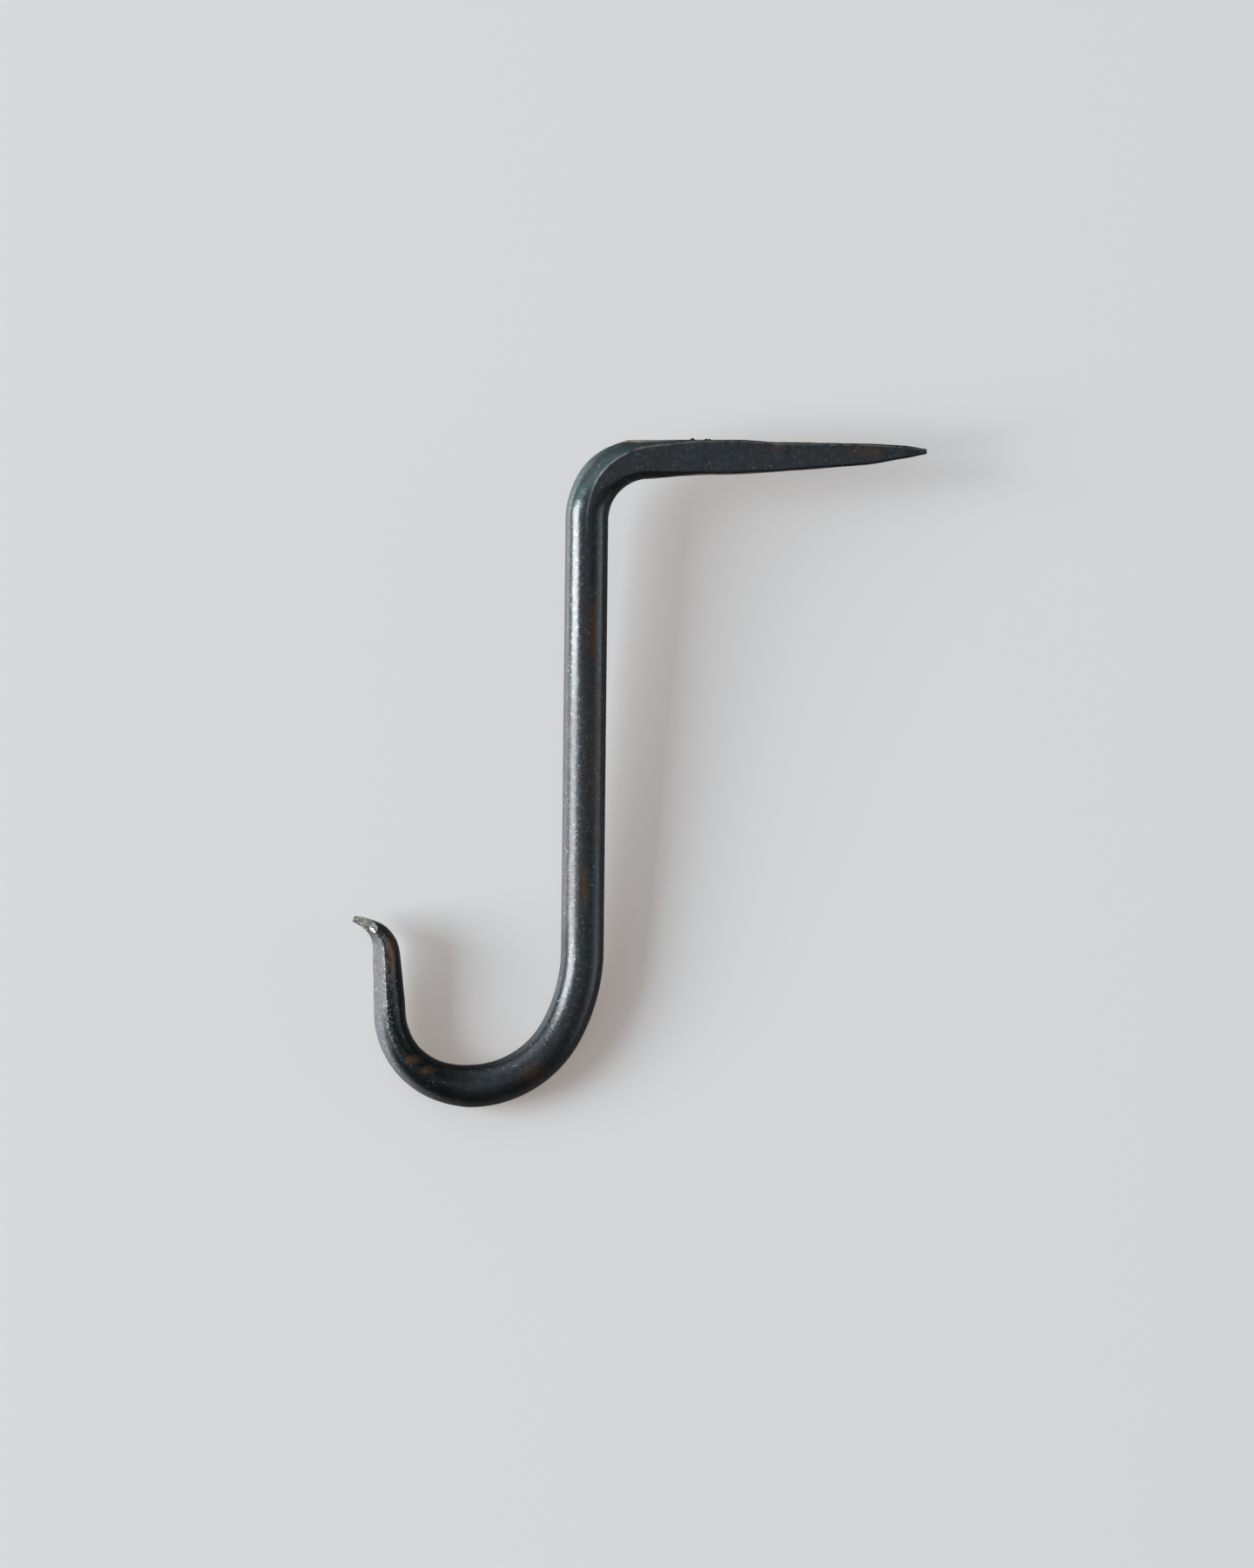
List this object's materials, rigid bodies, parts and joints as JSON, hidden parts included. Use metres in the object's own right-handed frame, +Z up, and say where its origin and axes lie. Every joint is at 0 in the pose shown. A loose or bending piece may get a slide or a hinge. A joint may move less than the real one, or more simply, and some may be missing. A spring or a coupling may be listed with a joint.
{
  "type": "beam hook",
  "caption": "Forged hook with a square tapered spike driven into a beam, a long straight round shank, and a round bowl whose thinned arm ends in a tip curled outwards.",
  "frame": {"origin": "on the spike's driving line, in the plane of the shank's beam side, half-way through the bar's depth", "axes": "+X along the spike to its point, +Z up along the shank, Y through the depth of the bar"},
  "size_m": [0.1346, 0.0102, 0.1562],
  "materials": {
    "forged_steel": "blackened forge scale, satin, hammered at both ends"
  },
  "bodies": {
    "root": {"beam_hook": "forged_steel"}
  },
  "joints": []
}
